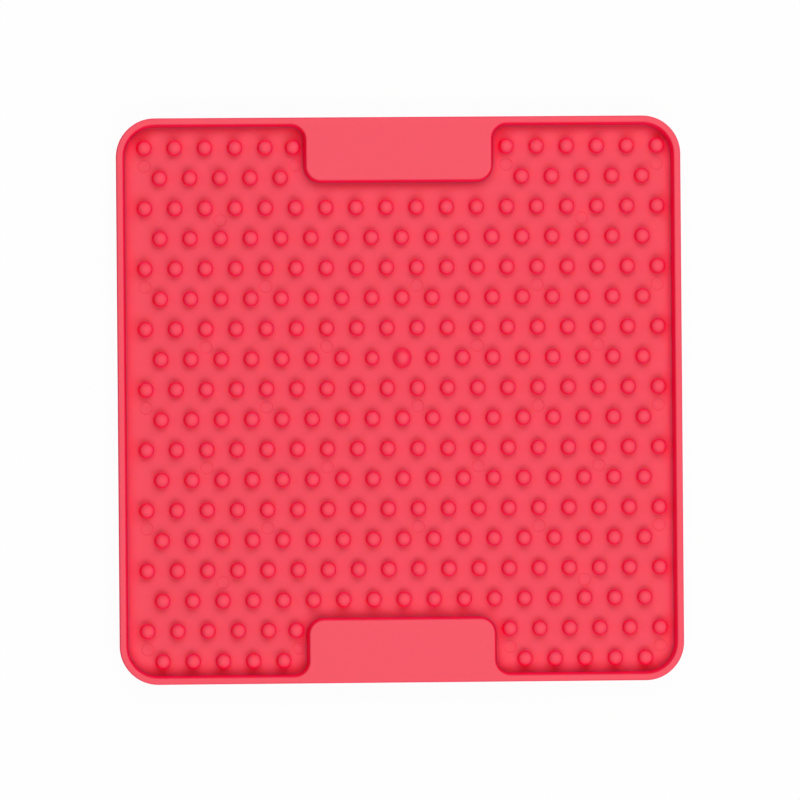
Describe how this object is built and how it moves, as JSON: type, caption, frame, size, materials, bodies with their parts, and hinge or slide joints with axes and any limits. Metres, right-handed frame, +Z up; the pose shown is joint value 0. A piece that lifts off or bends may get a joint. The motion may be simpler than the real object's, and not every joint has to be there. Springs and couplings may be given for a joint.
{
  "type": "lick mat",
  "caption": "Square pet lick mat: a rigid tray with a raised rim and two plain tabs, filled by a soft nubbed pad that is moulded through its floor and stands on grip feet.",
  "frame": {"origin": "on the ground under the middle of the mat", "axes": "+Z up out of the well, +Y towards the tab that is uppermost in the picture, +X to the picture's right"},
  "size_m": [0.2, 0.2, 0.009],
  "materials": {
    "tray": "moulded polypropylene, fine matt",
    "pad": "moulded thermoplastic rubber, satin"
  },
  "bodies": {
    "root": {"base_tray": "tray", "lick_pad": "pad"}
  },
  "joints": []
}
